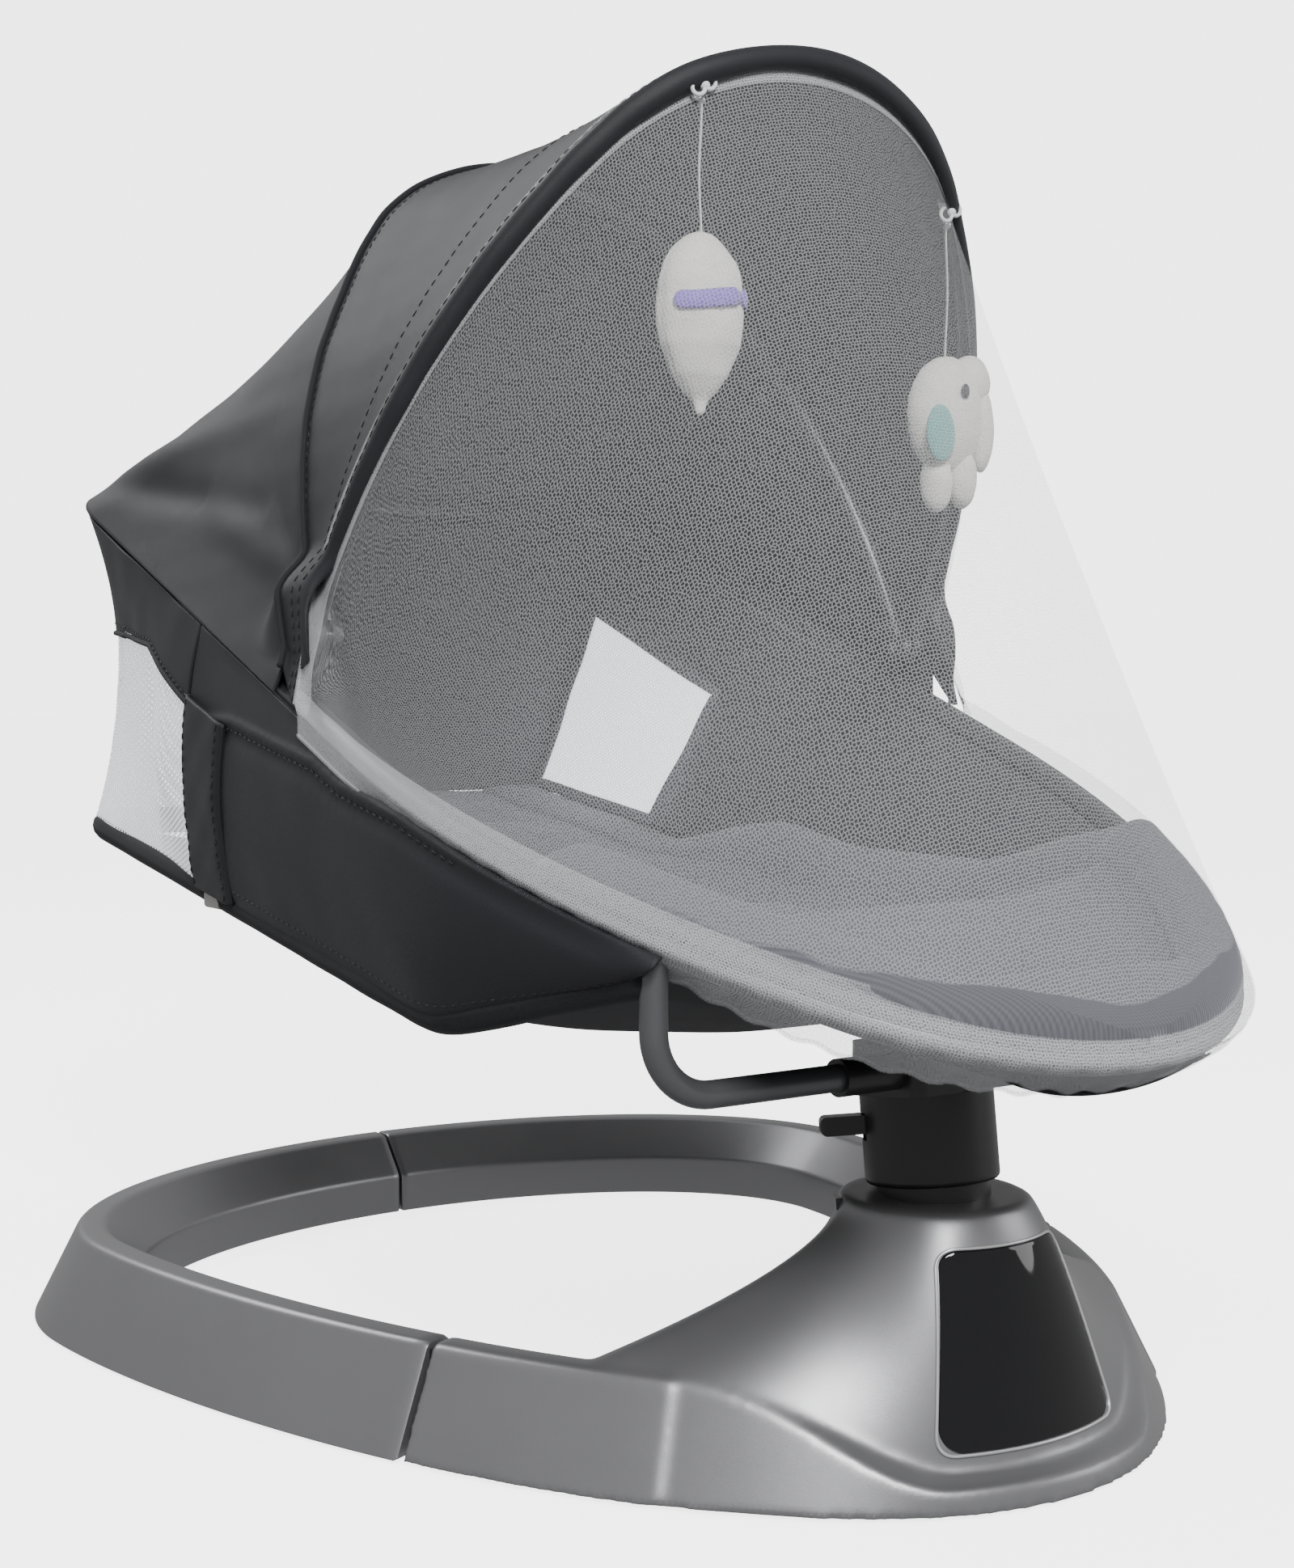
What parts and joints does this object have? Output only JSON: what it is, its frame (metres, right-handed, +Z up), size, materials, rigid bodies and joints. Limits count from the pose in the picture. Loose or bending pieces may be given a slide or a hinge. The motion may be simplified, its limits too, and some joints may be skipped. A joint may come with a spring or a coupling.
{
  "type": "baby swing",
  "caption": "Electric baby swing: oval floor ring, leaning post on a motor housing, tube-framed sling seat with pad, folding canopy, net and hanging toys.",
  "frame": {"origin": "floor point under the post, where the leaning swing axis meets the floor", "axes": "+Z up, +Y from the foot of the seat towards its head, +X to the right seen from the foot"},
  "size_m": [0.5949, 0.7441, 0.6809],
  "materials": {
    "satin_silver": "fine metallic paint, satin",
    "gloss_black": "polished",
    "black_plastic": "fine grain",
    "grey_clip": "satin",
    "steel": "ground",
    "bronze_bush": "sintered",
    "gear_nylon": "moulded",
    "circuit_board": "printed circuit board",
    "rubber": "matt",
    "gunmetal_tube": "satin",
    "charcoal_polyester": "plain weave, slight sheen",
    "white_mesh": "open knitted mesh",
    "pad_twill": "quilted twill",
    "lining_cloth": "plain weave",
    "net_white": "fine net",
    "toy_plush": "soft plush",
    "white_tape": "woven tape"
  },
  "bodies": {
    "base": {"motor_housing": "satin_silver", "left_base_arc": "satin_silver", "right_base_arc": "satin_silver", "ring_connectors": "black_plastic", "swing_stop": "black_plastic", "control_panel": "gloss_black", "housing_bottom_cover": "black_plastic", "cover_screws": "steel", "lower_bearing": "bronze_bush", "upper_bearing": "bronze_bush", "gap_ring": "black_plastic", "lower_bearing_seat": "black_plastic", "upper_bearing_seat": "black_plastic", "gearmotor": "steel", "motor_cradle": "black_plastic", "control_board": "circuit_board", "panel_board": "circuit_board", "loudspeaker": "black_plastic", "power_inlet": "black_plastic", "rubber_feet": "rubber"},
    "seat": {"post_sleeve": "black_plastic", "swing_shaft": "steel", "sector_gear": "gear_nylon", "lever_pin": "steel", "seat_mount_block": "black_plastic", "bracket_tube": "gunmetal_tube", "bracket_sleeves": "black_plastic", "seat_rim_tube": "gunmetal_tube", "lower_tube": "gunmetal_tube", "frame_clips": "grey_clip", "canopy_hubs": "black_plastic", "canopy_pins": "steel", "left_side_shell": "charcoal_polyester", "right_side_shell": "charcoal_polyester", "rear_shell_band": "charcoal_polyester", "rear_mesh": "white_mesh", "seat_pad": "pad_twill", "seat_lining": "lining_cloth", "seat_sling": "charcoal_polyester", "crotch_pad": "pad_twill", "canopy_fabric": "charcoal_polyester", "mosquito_net": "net_white"},
    "pinion": {"drive_pinion": "gear_nylon"},
    "release_lever": {"release_lever": "black_plastic"},
    "canopy_front": {"front_hoop": "gunmetal_tube", "toy_ties": "white_tape"},
    "canopy_middle": {"mid_hoop": "gunmetal_tube"},
    "toy_a_hook": {"toy_a_hook": "white_tape"},
    "toy_a": {"toy_a_strap": "white_tape", "toy_a_plush": "toy_plush"},
    "toy_b_hook": {"toy_b_hook": "white_tape"},
    "toy_b": {"toy_b_strap": "white_tape", "toy_b_plush": "toy_plush"}
  },
  "joints": [
    {"name": "seat_swing", "type": "hinge", "parent": "base", "child": "seat", "pos_m": [0, 0, 0], "axis": [0, 0.1219, 0.9925], "range_deg": [-12, 12]},
    {"name": "pinion_spin", "type": "hinge", "parent": "base", "child": "pinion", "pos_m": [0.057, 0, 0], "axis": [0, 0.1219, 0.9925], "range_deg": [-65, 65]},
    {"name": "lever_press", "type": "hinge", "parent": "seat", "child": "release_lever", "pos_m": [-0.01948, 0.03205, 0.15324], "axis": [-0.5592, -0.8229, 0.101], "range_deg": [0, 12], "stiffness_Nm_per_rad": 0.3, "springref_deg": -2.86},
    {"name": "canopy_fold", "type": "hinge", "parent": "seat", "child": "canopy_front", "pos_m": [0, 0.263, 0.388], "axis": [-1, 0, 0], "range_deg": [0, 70], "deforming": ["canopy_fabric", "mosquito_net"]},
    {"name": "canopy_middle_fold", "type": "hinge", "parent": "seat", "child": "canopy_middle", "pos_m": [0, 0.263, 0.388], "axis": [-1, 0, 0], "range_deg": [0, 35]},
    {"name": "toy_a_level", "type": "hinge", "parent": "canopy_front", "child": "toy_a_hook", "pos_m": [-0.0665, 0.1136, 0.6597], "axis": [-1, 0, 0], "range_deg": [-70, 0]},
    {"name": "toy_a_sway", "type": "hinge", "parent": "toy_a_hook", "child": "toy_a", "pos_m": [-0.0665, 0.1136, 0.6472], "axis": [0, 1, 0], "range_deg": [-12, 12]},
    {"name": "toy_b_level", "type": "hinge", "parent": "canopy_front", "child": "toy_b_hook", "pos_m": [0.112, 0.1325, 0.6254], "axis": [-1, 0, 0], "range_deg": [-70, 0]},
    {"name": "toy_b_sway", "type": "hinge", "parent": "toy_b_hook", "child": "toy_b", "pos_m": [0.112, 0.1325, 0.6129], "axis": [0, 1, 0], "range_deg": [-12, 12]}
  ],
  "couplings": [
    {"joint": "pinion_spin", "follows": "seat_swing", "ratio": -5.3333},
    {"joint": "canopy_middle_fold", "follows": "canopy_fold", "ratio": 0.5},
    {"joint": "toy_a_level", "follows": "canopy_fold", "ratio": -1},
    {"joint": "toy_b_level", "follows": "canopy_fold", "ratio": -1}
  ]
}
